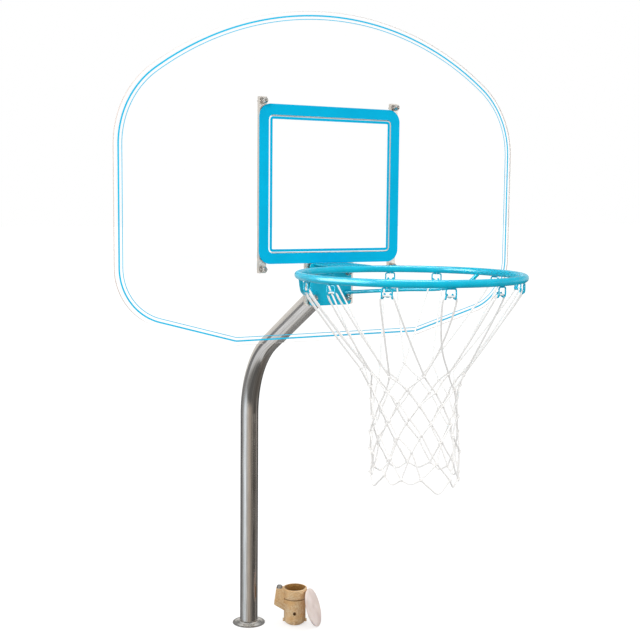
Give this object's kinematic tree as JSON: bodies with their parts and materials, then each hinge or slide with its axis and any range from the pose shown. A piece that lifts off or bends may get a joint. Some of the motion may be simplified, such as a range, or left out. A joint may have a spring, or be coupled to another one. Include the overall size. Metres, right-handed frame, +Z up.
{
  "type": "poolside basketball hoop",
  "caption": "Deck-mounted pool hoop: bent steel post, clear board with printed target, rod rim on braces, knotted net, sliding escutcheon, and a cast deck anchor with wedge and cover beside it.",
  "frame": {"origin": "centre of the post's foot, on the deck surface", "axes": "+Z up along the straight part of the post, -Y towards the side that the board, rim and net face, +X to the right seen from behind the board, which is the picture's right"},
  "size_m": [1.06, 1.059, 1.598],
  "materials": {
    "brushed_steel": "brushed stainless steel",
    "bright_steel": "polished stainless steel",
    "clear_acrylic": "clear gloss sheet",
    "blue_print": "screen print",
    "blue_coating": "gloss powder coat",
    "white_cord": "braided cord",
    "cast_brass": "satin cast brass",
    "cream_plastic": "moulded plastic"
  },
  "bodies": {
    "hoop": {"post_tube": "brushed_steel", "head_plate": "brushed_steel", "upright_left": "brushed_steel", "upright_right": "brushed_steel", "crossbar_lower": "brushed_steel", "crossbar_upper": "brushed_steel", "backboard": "clear_acrylic", "border_line": "blue_print", "border_pinline": "blue_print", "target_outer_band": "blue_print", "target_inner_band": "blue_print", "rim_ring": "blue_coating", "rim_mount_plate": "blue_coating", "rim_bridge_plate": "blue_coating", "brace_rod_left": "blue_coating", "brace_rod_right": "blue_coating", "net_hook_01": "blue_coating", "net_hook_02": "blue_coating", "net_hook_03": "blue_coating", "net_hook_04": "blue_coating", "net_hook_05": "blue_coating", "net_hook_06": "blue_coating", "net_hook_07": "blue_coating", "net_hook_08": "blue_coating", "net_hook_09": "blue_coating", "net_hook_10": "blue_coating", "net_hook_11": "blue_coating", "net_hook_12": "blue_coating", "net": "white_cord", "board_bolt_1": "bright_steel", "board_bolt_2": "bright_steel", "board_bolt_3": "bright_steel", "board_bolt_4": "bright_steel", "board_cap_nut_1": "bright_steel", "board_cap_nut_2": "bright_steel", "board_cap_nut_3": "bright_steel", "board_cap_nut_4": "bright_steel", "rim_bolt_1": "bright_steel", "rim_bolt_2": "bright_steel", "rim_bolt_3": "bright_steel", "rim_bolt_4": "bright_steel", "rim_cap_nut_1": "bright_steel", "rim_cap_nut_2": "bright_steel", "rim_cap_nut_3": "bright_steel", "rim_cap_nut_4": "bright_steel"},
    "escutcheon": {"escutcheon": "bright_steel"},
    "anchor": {"anchor_body": "cast_brass", "wedge_washer": "bright_steel", "bonding_screw": "cast_brass"},
    "wedge": {"anchor_wedge": "cast_brass"},
    "wedge_bolt": {"wedge_bolt": "bright_steel"},
    "cover": {"anchor_cover": "cream_plastic"}
  },
  "joints": [
    {"name": "escutcheon_slide", "type": "slide", "parent": "hoop", "child": "escutcheon", "axis": [0, 0, 1], "range_m": [0, 0.5]},
    {"name": "anchor_lift", "type": "slide", "parent": "hoop", "child": "anchor", "axis": [0, 0, 1], "range_m": [0, 0.3]},
    {"name": "wedge_bolt_turn", "type": "hinge", "parent": "anchor", "child": "wedge_bolt", "pos_m": [0.07301, -0.04307, 0.104], "axis": [0, 0, -1], "range_deg": [0, 1620]},
    {"name": "wedge_rise", "type": "slide", "parent": "anchor", "child": "wedge", "axis": [0.116, -0.0657, 0.9911], "range_m": [0, 0.00641]},
    {"name": "cover_lift", "type": "slide", "parent": "anchor", "child": "cover", "axis": [0, 0, 1], "range_m": [0, 0.2]}
  ],
  "couplings": [
    {"joint": "wedge_bolt_turn", "follows": "wedge_rise", "rad_per_m": 4412.9}
  ]
}
